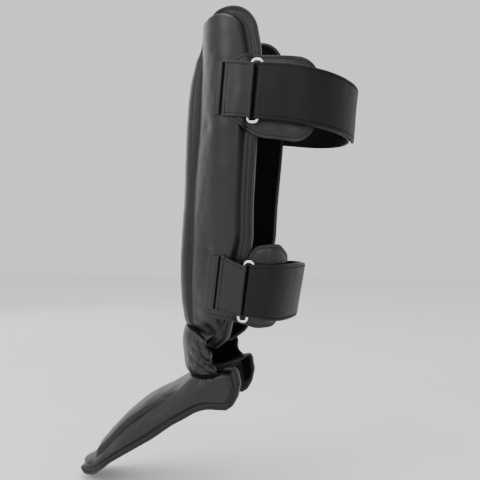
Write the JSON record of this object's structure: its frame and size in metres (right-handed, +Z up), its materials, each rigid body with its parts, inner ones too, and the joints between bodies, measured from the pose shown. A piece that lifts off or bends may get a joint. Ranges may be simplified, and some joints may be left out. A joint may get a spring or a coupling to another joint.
{
  "type": "shin guard",
  "caption": "Padded leather shin and instep guard with a centre ridge, a hinged instep pad and wide hook-and-loop straps that fold back through metal rings.",
  "frame": {"origin": "the leg's axis at the middle of the shin, inside the shell", "axes": "+Z up the leg to the knee, -Y the way the shin's front and the toes face, +X the side with the strap rings"},
  "size_m": [0.1637, 0.3492, 0.5369],
  "materials": {
    "leather": "satin black leather with a fine grain",
    "binding": "stitched black edge binding",
    "strap": "smooth black strap leather, edge stitched",
    "lining": "black woven lining",
    "hook_loop": "black hook and loop",
    "elastic": "black ribbed elastic",
    "foam": "closed-cell foam",
    "ring_metal": "bright plated wire"
  },
  "bodies": {
    "shin": {"shin_cover_left": "leather", "shin_cover_right": "leather", "shin_ridge_cover": "leather", "shin_edge_binding": "binding", "shin_lining": "lining", "shin_backing_foam": "foam", "shin_pad_foam": "foam", "shin_ridge_foam": "foam", "upper_tab": "leather", "upper_strap_band": "strap", "upper_loop_patch": "hook_loop", "upper_root_patch": "leather", "upper_tongue_base": "leather", "lower_tab": "leather", "lower_strap_band": "strap", "lower_loop_patch": "hook_loop", "lower_root_patch": "leather", "lower_tongue_base": "leather"},
    "ankle_block": {"ankle_block_cover": "leather", "ankle_block_foam": "foam", "ankle_web": "lining"},
    "instep": {"instep_lining": "lining", "instep_foam": "foam", "instep_cover": "leather", "instep_ridge_foam": "foam", "instep_ridge_cover": "leather", "instep_edge_binding": "binding", "sole_strap": "elastic"},
    "upper_ring": {"upper_ring": "ring_metal", "upper_strap_fold": "strap"},
    "upper_strap_tail": {"upper_strap_tail": "strap", "upper_hook_patch": "hook_loop"},
    "upper_tongue": {"upper_tongue": "leather"},
    "lower_ring": {"lower_ring": "ring_metal", "lower_strap_fold": "strap"},
    "lower_strap_tail": {"lower_strap_tail": "strap", "lower_hook_patch": "hook_loop"},
    "lower_tongue": {"lower_tongue": "leather"}
  },
  "joints": [
    {"name": "ankle_fold", "type": "hinge", "parent": "shin", "child": "ankle_block", "pos_m": [0, -0.079, -0.0995], "axis": [1, 0, 0], "range_deg": [-15, 7.2]},
    {"name": "instep_fold", "type": "hinge", "parent": "ankle_block", "child": "instep", "pos_m": [0, -0.077, -0.158], "axis": [1, 0, 0], "range_deg": [-25, 12]},
    {"name": "upper_ring_swing", "type": "hinge", "parent": "shin", "child": "upper_ring", "pos_m": [0.07684, 0.02043, 0.15505], "axis": [0, 0.0893, 0.996], "range_deg": [-30, 0]},
    {"name": "upper_tail_peel", "type": "hinge", "parent": "upper_ring", "child": "upper_strap_tail", "pos_m": [0.08149, 0.03337, 0.15351], "axis": [0, 0.0893, 0.996], "range_deg": [-105, 0]},
    {"name": "upper_tongue_flap", "type": "hinge", "parent": "shin", "child": "upper_tongue", "pos_m": [0.06869, 0.03049, 0.1535], "axis": [0, 0.0893, 0.996], "range_deg": [0, 35]},
    {"name": "lower_ring_swing", "type": "hinge", "parent": "shin", "child": "lower_ring", "pos_m": [0.0624, 0.0072, -0.055], "axis": [0.1264, 0.1587, 0.9792], "range_deg": [-30, 0]},
    {"name": "lower_tail_peel", "type": "hinge", "parent": "lower_ring", "child": "lower_strap_tail", "pos_m": [0.067, 0.01905, -0.055], "axis": [0.1356, 0.1585, 0.978], "range_deg": [-105, 0]},
    {"name": "lower_tongue_flap", "type": "hinge", "parent": "shin", "child": "lower_tongue", "pos_m": [0.0542, 0.01225, -0.055], "axis": [0.11, 0.159, 0.9811], "range_deg": [0, 35]}
  ],
  "couplings": [
    {"joint": "ankle_fold", "follows": "instep_fold", "ratio": 0.6}
  ]
}
